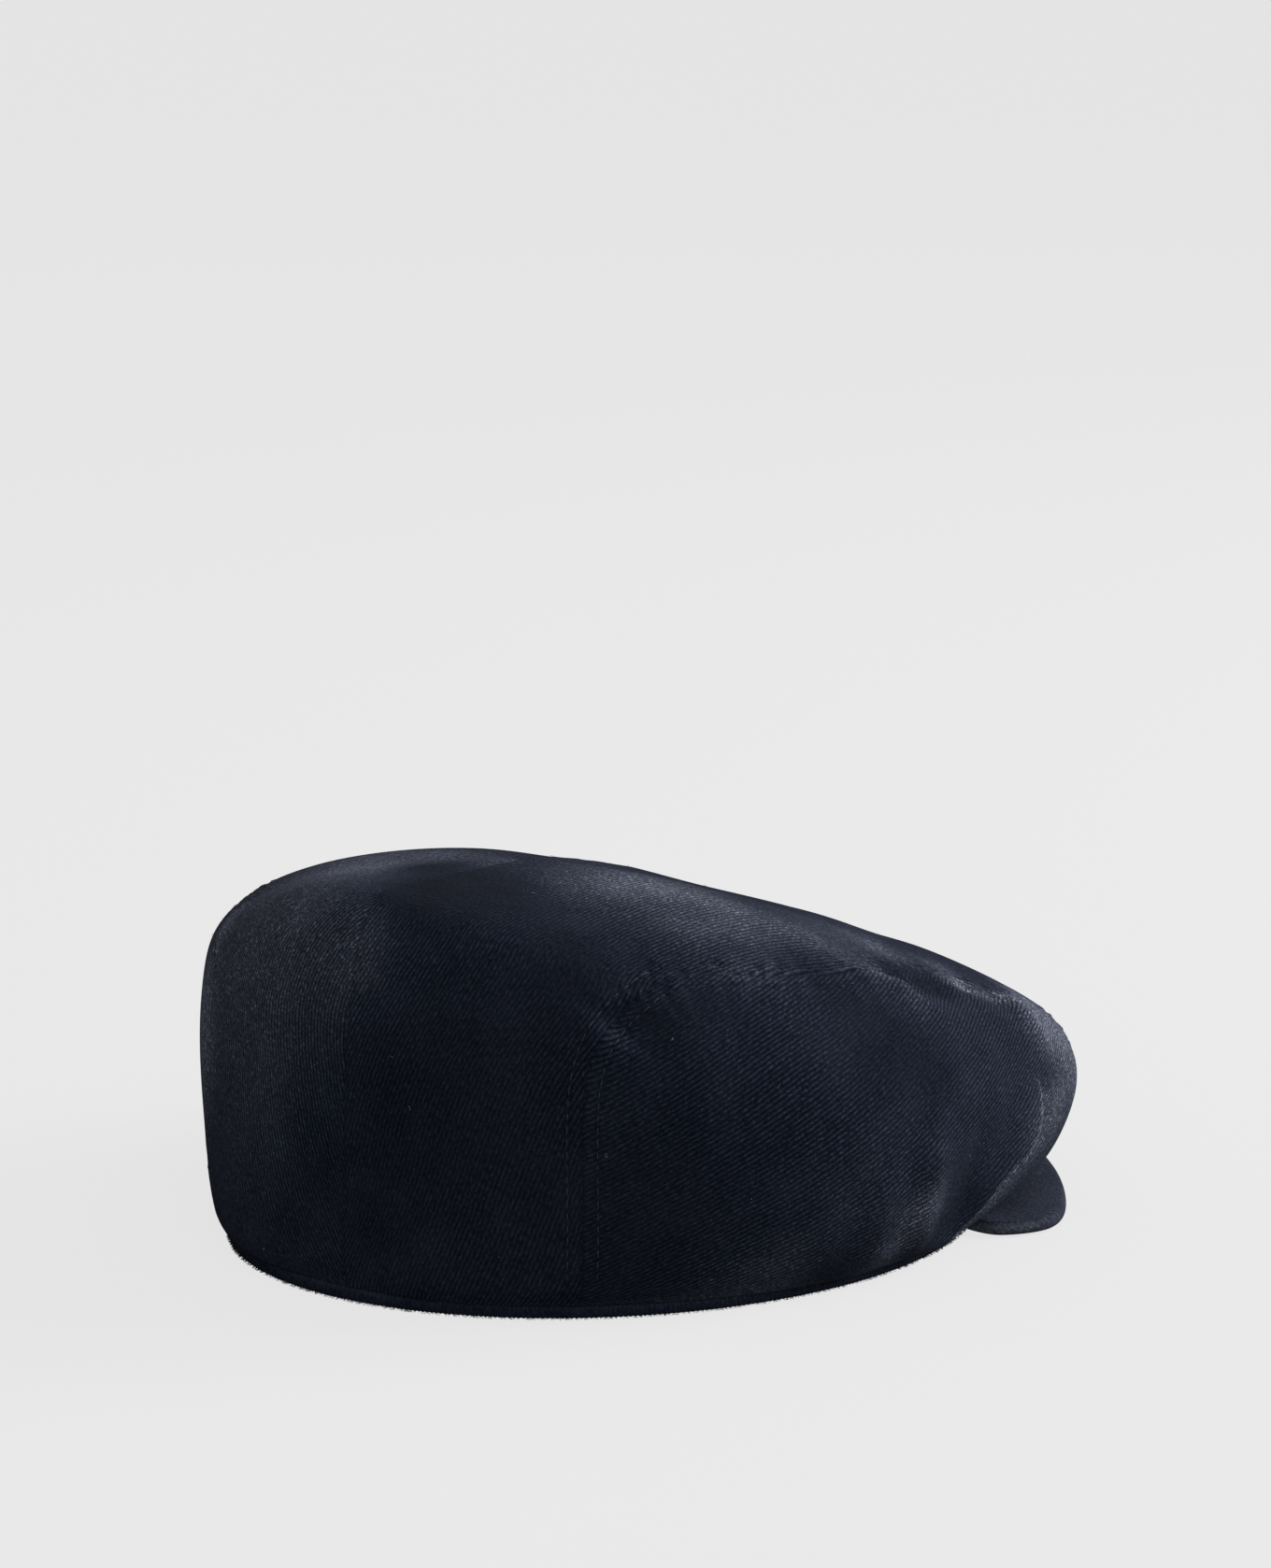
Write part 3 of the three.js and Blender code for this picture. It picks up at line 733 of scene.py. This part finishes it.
def velvet(name, rib_depth, rib_contrast, sheen, sparkle):
    """Navy velvet: dark pile with a soft bluish sheen, pressed into fine ribs that are broken and uneven.
    Pale flecks stand for single tips of the pile catching the light: partly the pile's grain, partly painted
    glints."""
    material, add = new_material(name)

    def noise(vector, scale, detail=2, roughness=0.5):
        inputs = {"Vector": vector, "Scale": scale, "Detail": detail, "Roughness": roughness}
        return add("TexNoise", inputs).outputs[0]

    def maths(operation, *values, **settings):
        return add("Math", dict(enumerate(values)), operation=operation, **settings).outputs[0]

    def ramp(value, start, end, low, high):
        inputs = {"Value": value, "From Min": start, "From Max": end, "To Min": low, "To Max": high}
        return add("MapRange", inputs).outputs[0]

    def blend(factor, first, second):
        return add("Mix", {"Factor": factor, "A": first, "B": second}, data_type="RGBA").outputs["Result"]

    def scaled(colour, factor):
        return add("VectorMath", {0: colour, "Scale": factor}, operation="SCALE").outputs[0]

    cloth = add("UVMap", uv_map="cloth").outputs[0]
    body = add("TexCoord").outputs["Object"]
    nap_and_painted_light = add("Attribute", attribute_name="nap_and_painted_light").outputs["Fac"]

    turns = maths("MULTIPLY", add("SeparateXYZ", {0: cloth}).outputs["X"], 2 * math.pi / RIB_PITCH)
    swayed = maths("MULTIPLY_ADD", noise(cloth, 70), 5.0, turns)
    phase = maths("MULTIPLY_ADD", noise(cloth, 520), 2.6, swayed)
    swing = ramp(nap_and_painted_light, -0.6, 0, 0.25 * rib_contrast, rib_contrast)
    lifted = maths("MULTIPLY_ADD", maths("SINE", phase), swing, 0.5)
    along = add("Mapping", {"Vector": cloth, "Scale": (1.0, 0.5, 1)}).outputs[0]
    crest = maths("MULTIPLY", lifted, ramp(noise(along, 1500), 0.34, 0.66, 0.25, 1.1))
    relief = maths("MULTIPLY_ADD", noise(body, 2400), 1.1, crest)
    bump = add("Bump", {"Height": relief, "Strength": 1, "Distance": rib_depth}).outputs[0]

    mottle = ramp(noise(body, 60, detail=4, roughness=0.65), 0.3, 0.7, -0.15, 0.15)
    level = maths("ADD", crest, mottle, use_clamp=True)
    # The stored attribute darkens the colour where it is negative and blends it towards the pale colour where
    # it is positive: partly the pile's lay, partly painted light and shade.
    darker = maths("POWER", 2.0, maths("MINIMUM", nap_and_painted_light, 0.0))
    lay_and_painted_light = scaled(blend(level, VALLEY_COLOUR_AND_SHADE, CREST_COLOUR), darker)
    glint = maths("MULTIPLY", nap_and_painted_light, maths("MULTIPLY_ADD", level, 0.6, 0.14), use_clamp=True)
    brushed_and_highlit = blend(glint, lay_and_painted_light, PALE_PILE_AND_HIGHLIGHT_COLOUR)
    # Pale flecks: partly the pile's grain, partly painted glints, made stronger where light is painted on.
    fleck = ramp(noise(body, 1400, roughness=0.6), 0.5, 0.72, 0, 1)
    lit = ramp(nap_and_painted_light, -0.4, 1, 0.3 * sparkle, 2.4 * sparkle)
    pile = add("BsdfPrincipled", {
        "Base Color": scaled(brushed_and_highlit, maths("MULTIPLY_ADD", fleck, lit, 0.82)), "Roughness": 0.95,
        "Specular IOR Level": 0.02, "Sheen Weight": sheen, "Sheen Roughness": 0.38, "Sheen Tint": PILE_TINT,
        "Normal": bump,
    })
    add("OutputMaterial", {"Surface": pile.outputs[0]})
    return material


RIB_DEPTH = 0.00017
ribbed_velvet = velvet("ribbed_velvet", RIB_DEPTH, rib_contrast=0.5, sheen=0.02, sparkle=1)


def hem_between(start, end):
    """The hem from one angle to another, as a function of the share of the way."""
    return lambda t: spot(start + (end - start) * np.asarray(t), 0)


def front_meeting(t):
    """The one place at the front where the three panels meet."""
    return spot(*SIDE_SEAM[-1]) + 0 * np.asarray(t)[..., None]


seam_foot, centre_foot = SIDE_SEAM[0][0], CENTRE_SEAM[0][0]
top_columns, top_rows = denser_ends(110, 0.7), np.linspace(0, 0.995, 320)
panel(
    "right_top_velvet",
    "right_top_panel",
    (hem_between(centre_foot, seam_foot), front_meeting, centre_seam, right_seam),
    lambda points: side_seam_relief(points, right_track) + centre_seam_relief(points),
    top_columns,
    top_rows,
    ribbed_velvet,
    lean=lambda u, v: np.interp(
        v + 0.13 * (u - 0.5),
        (0, 0.1, 0.2, 0.32, 0.4, 0.45, 0.5, 0.56, 0.61, 0.67, 1),
        (27, 26, 22, 27, 18, 2, -25, -28, -8, 18, 24),
    ),
    lay_and_painted_light=lambda angle, share: SEAM_PAINTED_HIGHLIGHT * painted_seam_highlight(angle, share),
)

# The left top panel is the mirror of the right one, cut from the same velvet with its ribs running the other
# way. The two meet at the centre seam, which is pressed open and not topstitched.
panel(
    "left_top_velvet",
    "left_top_panel",
    (hem_between(centre_foot, -seam_foot), front_meeting, centre_seam, left_seam),
    lambda points: side_seam_relief(points, left_track) + centre_seam_relief(points),
    top_columns,
    top_rows,
    ribbed_velvet,
    lean=lambda u, v: np.interp(v, (0, 0.15, 0.22, 0.3, 0.36, 0.44, 1), (40, 31, 18, 10, -20, -52, -60)),
    lay_and_painted_light=lambda angle, share: (
        (0.2 * smooth_step(share, 0.2, 0.5) + 0.35 * smooth_step(share, 0.78, 0.92))
        * (1 - smooth_step(np.abs(angle), 70, 120))
    ),
)

# The front panel is one wide strip of the same velvet from the one rear quarter round the front to the other.
# Its side and top edges are sewn to the top panels, and its slack hangs in folds over the peak.


def denser_at(middles, width, strength, count):
    """Shares from 0 to 1 that lie closer together about some of them."""
    t = np.linspace(0, 1, 2001)
    density = 1 + sum(bump_row(t, middle, width, strength) for middle in middles)
    grown = np.concatenate([[0], np.cumsum((density[1:] + density[:-1]) / 2)])
    return np.interp(np.linspace(0, grown[-1], count), grown, t)


panel(
    "front_velvet",
    "front_panel",
    (
        hem_between(seam_foot, 360 - seam_foot),
        lambda t: np.where(
            np.asarray(t)[..., None] < 0.5,
            right_seam(SEAM_TURN + (1 - SEAM_TURN) * np.asarray(t) * 2),
            left_seam(1 + (SEAM_TURN - 1) * (np.asarray(t) * 2 - 1)),
        ),
        lambda t: right_seam(SEAM_TURN * np.asarray(t)),
        lambda t: left_seam(SEAM_TURN * np.asarray(t)),
    ),
    lambda points: np.where(
        points[..., 0] < 0,
        side_seam_relief(points, right_track),
        side_seam_relief(points, left_track),
    ),
    denser_at((0.27, 0.73), 0.045, 1.6, 460),
    denser_ends(91, 0.7),
    ribbed_velvet,
    lean=lambda u, v: (
        np.interp(u, (0, 0.1, 0.2, 0.3, 0.5, 1), (64, 58, 42, 28, 0, -64))
        - (22 - 44 * u) * smooth_step(v, 0.5, 0.9)
    ),
    lay_and_painted_light=lambda angle, share: SEAM_PAINTED_HIGHLIGHT * painted_seam_highlight(angle, share),
)

# Two rows of stitches run beside each side seam and hold its turned edges down. They are sewn in a polyester
# thread a little paler than the cloth, and each stitch sinks into the pile at both of its ends.
STITCH_PITCH = 2.9
STITCH_LENGTH = 2.35
THREAD_RADIUS = 0.1
THREAD_COLOUR = (0.072, 0.086, 0.130, 1)
THREAD_SHADE = (0.030, 0.036, 0.052, 1)
THREAD_TAPER = (0.55, 0.95, 1.05, 0.95, 0.55)
STITCH_STANDS = 0.1
STITCH_ARCH = 0.24


def beside_seam(curve, share, offset):
    """Places of the disk that lie an offset, in millimetres, square to a seam."""
    step = 0.002
    here = curve(share)
    way = curve(share + step) - curve(share - step)
    way /= np.linalg.norm(way, axis=-1, keepdims=True)
    aside = np.stack([-way[..., 1], way[..., 0]], -1)
    along = skin_at(here + way * step) - skin_at(here - way * step)
    across = skin_at(here + aside * step) - skin_at(here - aside * step)
    slide = (across * along).sum(-1, keepdims=True) / (along * along).sum(-1, keepdims=True)
    reach = np.linalg.norm(across - slide * along, axis=-1, keepdims=True) / (2 * step)
    return here + (aside - slide * way) * offset / reach


def tubes(name, lines, facing, radii, sides):
    """Many small tubes as one piece. lines holds the points of each, and facing a way square to them."""
    ahead = np.gradient(lines, axis=1)
    ahead /= np.linalg.norm(ahead, axis=-1, keepdims=True)
    facing = facing - ahead * (facing * ahead).sum(-1, keepdims=True)
    facing /= np.linalg.norm(facing, axis=-1, keepdims=True)
    aside = np.cross(ahead, facing)
    turn = np.arange(sides) * 2 * np.pi / sides
    ring = facing[:, :, None] * np.cos(turn)[:, None] + aside[:, :, None] * np.sin(turn)[:, None]
    points = lines[:, :, None] + ring * radii[..., None, None]
    index = np.arange(points[..., 0].size).reshape(points.shape[:3])
    turned = np.roll(index, -1, axis=2)
    walls = np.stack([index[:, :-1], turned[:, :-1], turned[:, 1:], index[:, 1:]], -1).reshape(-1, 4)
    ends = np.concatenate([index[:, 0, ::-1], index[:, -1]])
    return mesh_piece(name, points, walls.tolist() + ends.tolist())


thread, add = new_material("thread")
place = add("TexCoord")
strand = add("TexNoise", {"Vector": place.outputs["Object"], "Scale": 2600, "Detail": 2})
shade = add("Mix", {"Factor": strand.outputs[0], "A": THREAD_SHADE, "B": THREAD_COLOUR}, data_type="RGBA")
twist = add("Bump", {"Height": strand.outputs[0], "Strength": 1, "Distance": 0.0001})
yarn = add("BsdfPrincipled", {
    "Base Color": shade.outputs["Result"], "Roughness": 0.6, "Normal": twist.outputs[0],
})
add("OutputMaterial", {"Surface": yarn.outputs[0]})


def stitching(name, curve, track):
    """Both rows of stitches of one side seam."""
    sewn = track[2]
    middles = np.arange(STITCH_PITCH, sewn[-1] - STITCH_PITCH, STITCH_PITCH)
    sunk = 0.26 * smooth_step(middles, 78, 110) + 0.3 * (1 - smooth_step(middles, 5, 13))
    sunk = sunk + 0.07 * np.sin(middles * 1.7)
    t = np.linspace(-1, 1, len(THREAD_TAPER))
    share = np.interp(middles[:, None] + t * STITCH_LENGTH / 2, sewn, np.linspace(0, 1, len(sewn)))
    lines, facing = [], []
    for offset in (-ROW_OFFSET, ROW_OFFSET):
        places = beside_seam(curve, share, offset)
        out = outward(places)
        surface = cloth_at(places, lambda points: side_seam_relief(points, track))
        lines.append(surface + out * (STITCH_STANDS - sunk[:, None] - STITCH_ARCH * t**2)[..., None])
        facing.append(out)
    radii = THREAD_RADIUS * np.array(THREAD_TAPER) * np.ones((2 * len(middles), 1))
    piece = tubes(name, np.concatenate(lines), np.concatenate(facing), radii, sides=6)
    piece.data.materials.append(thread)
    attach(piece, "root")


stitching("right_stitching", right_seam, right_track)
stitching("left_stitching", left_seam, left_track)

# The hem band is a narrow strip of the velvet, turned under and sewn round the crown's lower edge.
# Its pile stands out a little along the bottom, where it is folded.
BAND_GAP = 0.3
BAND_TUCK = 0.8
BAND_RIBS = 512
BAND_RIB_DEPTH = 0.09
BAND_SEGMENTS = 2048
# The band's section: how far in from its outer face, and the share of its height.
BAND_PROFILE = (
    (1.2, 0.04), (0.5, 0.05), (0.1, 0.14), (-0.1, 0.35), (-0.1, 0.65), (0.2, 0.9), (1, 1), (2.6, 1), (3, 0.8),
    (3, 0.2), (2.6, 0.04),
)


def oval(turn, inset, z):
    """Points of the hem's oval, an inset inside its outer face."""
    x, y = (HEM_HALF_WIDTH - inset) * np.cos(turn), (HEM_HALF_LENGTH - inset) * np.sin(turn)
    return np.stack([x, y, z + 0 * turn], -1)


def skinned(name, rings, loop):
    """A piece skinned over rings of points, joined into a loop or closed at both ends."""
    count, size = rings.shape[:2]
    index = np.arange(count * size).reshape(count, size)
    here, after = (index, np.roll(index, -1, axis=0)) if loop else (index[:-1], index[1:])
    turned, turned_after = np.roll(here, -1, axis=1), np.roll(after, -1, axis=1)
    faces = np.stack([here, turned, turned_after, after], -1).reshape(-1, 4).tolist()
    if not loop:
        faces += [index[0, ::-1].tolist(), index[-1].tolist()]
    return mesh_piece(name, rings, faces)


turn = np.linspace(-np.pi / 2, 1.5 * np.pi, BAND_SEGMENTS, endpoint=False)
x, y = oval(turn, 0, 0)[:, :2].T
band_top = hem_height(np.degrees(np.arctan2(-x, y - CROWN_AXIS_Y))) - BAND_GAP + BAND_TUCK
rib = np.cos(turn * BAND_RIBS)
band_rings = np.stack([
    oval(turn, inset - BAND_RIB_DEPTH * rib * (inset < 1), band_top * share + 0.1 * (1 - rib) * (share < 0.1))
    for inset, share in BAND_PROFILE
], 1)
band_velvet = velvet("band_velvet", 0.00006, rib_contrast=0.12, sheen=0.015, sparkle=0.6)
hem_band = skinned("hem_band_velvet", band_rings, loop=True)
around = np.broadcast_to((turn * (HEM_HALF_LENGTH + HEM_HALF_WIDTH) / 2)[:, None], band_rings.shape[:2])
store_flat(hem_band, np.stack([around, band_rings[..., 2]], -1))
# The band is drawn darker, painted shade where it lies under the crown's overhang, and paler towards its top,
# painted light that lifts the shade in the gap under the crown's edge.
store_nap_and_painted_light(hem_band, -0.35 + 0.5 * smooth_step(band_rings[..., 2] / band_top[:, None], 0.65, 0.95))
hem_band.data.materials.append(band_velvet)
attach(hem_band, "root")
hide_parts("hem_band")

# Along its fold the band's pile stands out as a short fringe of fibres, which softens the cap's lower edge.
PILE_COUNT = 4200
PILE_TAPER = (0.075, 0.06, 0.02)
draw = np.random.default_rng(11)
turn = draw.uniform(0, 2 * np.pi, PILE_COUNT)
height = draw.uniform(0.15, 1.1, PILE_COUNT)
length = draw.uniform(0.3, 0.7, PILE_COUNT)
sway = draw.normal(0, 0.35, (2, PILE_COUNT))
t = np.linspace(0, 1, 3)[:, None]
root = oval(turn, 0.1, height)
away = np.stack([np.cos(turn) / HEM_HALF_WIDTH, np.sin(turn) / HEM_HALF_LENGTH, 0 * turn], -1)
away /= np.linalg.norm(away, axis=1, keepdims=True)
beside = np.cross(away, (0, 0, 1))
tip = root + (away + beside * sway[0][:, None]) * length[:, None]
tip[:, 2] = np.maximum(0.06, height + (sway[1] - 0.5) * length)
fibres = root[:, None] * (1 - t) + tip[:, None] * t
pile_radii = np.broadcast_to(PILE_TAPER, (PILE_COUNT, len(PILE_TAPER)))
hem_pile = tubes("hem_pile", fibres, np.broadcast_to((0.0, 0.0, 1.0), fibres.shape), pile_radii, sides=3)
hem_pile.data.materials.append(band_velvet)
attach(hem_pile, "root")

# The peak is a small stiff board covered with smooth velvet on both faces and sewn to the front of the band.
# Most of it lies under the crown, and only its corners and tip come out.
PEAK_OUTLINE = (
    (-80.5, -41.5), (-90, -43), (-95.5, -56), (-87, -73.5), (-66, -97.5), (-37, -119.5), (0, -132),
)
PEAK_FIRST_ANGLE = 134
PEAK_THICKNESS = 3.4
PEAK_EDGE_ROUND = PEAK_THICKNESS / 2
PEAK_CORNER_HEIGHT = 3.8
PEAK_TIP_HEIGHT = 6
PEAK_SEGMENTS = 260

half = np.array(PEAK_OUTLINE, float)
share = np.linspace(0, 1, PEAK_SEGMENTS)
edge_line = smooth_curve(np.concatenate([half, half[-2::-1] * (-1, 1)]))(share)
peak_angle = PEAK_FIRST_ANGLE + (360 - 2 * PEAK_FIRST_ANGLE) * share
peak_turn, radius = np.radians(peak_angle), hem_radius(peak_angle) + BAND_GAP
root_line = np.stack([-np.sin(peak_turn) * radius, CROWN_AXIS_Y + np.cos(peak_turn) * radius], -1)
root_top = hem_height(peak_angle) - BAND_GAP
edge_top = PEAK_CORNER_HEIGHT + (PEAK_TIP_HEIGHT - PEAK_CORNER_HEIGHT) * np.sin(np.pi * share) ** 3
width = np.linalg.norm(edge_line - root_line, axis=1)


def peak_points(from_edge, drop):
    """The peak's points a distance in from its edge, at most to its root, and a drop below its top."""
    out = np.clip(1 - from_edge / width, 0, 1)[:, None]
    place = root_line + (edge_line - root_line) * out
    height = root_top[:, None] + (edge_top - root_top)[:, None] * out - drop
    return np.concatenate([place, height], -1)


rounding = [
    (PEAK_EDGE_ROUND * (1 - math.sin(a)), PEAK_EDGE_ROUND * (1 - math.cos(a)))
    for a in np.linspace(0, math.pi, 13)
]
across = [(inset, 0) for inset in (400, 40, 30, 22, 15, 10, 6, 3.5)]
below = [(inset, PEAK_THICKNESS) for inset in (3.5, 6, 10, 20, 40, 400)]
peak_rings = np.stack([peak_points(inset, drop) for inset, drop in across + rounding + below], 1)
peak = skinned("peak_velvet", peak_rings, loop=False)
smooth_velvet = velvet("smooth_velvet", 0.00014, rib_contrast=0.08, sheen=0.02, sparkle=0.45)
ring_inset, ring_drop = np.array(across + rounding + below).T
store_flat(peak, peak_rings[..., :2] + ring_drop[:, None])
# Painted light: the peak's edge rounding, which gets little light, is painted paler, most of all at its
# corners, and so is a strip on both faces beside the edge.
painted_edge_light = smooth_step(ring_drop, 0, 1.2) * (1 - smooth_step(ring_inset, 2, 6))
painted_corner_light = (0.1 + 1.7 * (1 - smooth_step(share, 0.02, 0.09)))[:, None]
store_nap_and_painted_light(peak, painted_corner_light * painted_edge_light + 0.45 - 0.45 * smooth_step(ring_inset, 4, 22))
peak.data.materials.append(smooth_velvet)
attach(peak, "root")
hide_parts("peak")

# A little lint from washing and handling clings to the pile: short curled fibres of pale cotton.
LINT_COLOUR = (0.30, 0.31, 0.33, 1)
LINT_COUNT = 44
LINT_RADIUS = 0.04
lint_fibre, add = new_material("lint")
fibre = add("BsdfPrincipled", {"Base Color": LINT_COLOUR, "Roughness": 0.9})
add("OutputMaterial", {"Surface": fibre.outputs[0]})
angle, share = draw.uniform(0, 360, LINT_COUNT), draw.uniform(0.08, 0.95, LINT_COUNT)
reach = draw.uniform(0.15, 0.8, LINT_COUNT)[:, None]
way = draw.uniform(0, 2 * np.pi, LINT_COUNT)[:, None]
bend = draw.normal(0, 1.2, LINT_COUNT)[:, None]
t = np.linspace(-1, 1, 7)
out = outward(spot(angle, share))
level_way = np.cross(out, (0, 0, 1))
level_way /= np.linalg.norm(level_way, axis=-1, keepdims=True) + 1e-6
rising = np.cross(level_way, out)
middle = cloth_at(spot(angle, share), lambda points: 0 * points[..., 0]) + out * 0.25
turned = way + bend * t
lines = (
    middle[:, None] + level_way[:, None] * (reach * t * np.cos(turned))[..., None]
    + rising[:, None] * (reach * t * np.sin(turned))[..., None]
)
lint_radii = np.full(lines.shape[:2], LINT_RADIUS)
lint = tubes("lint", lines, np.broadcast_to(out[:, None], lines.shape), lint_radii, sides=4)
lint.data.materials.append(lint_fibre)
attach(lint, "root")
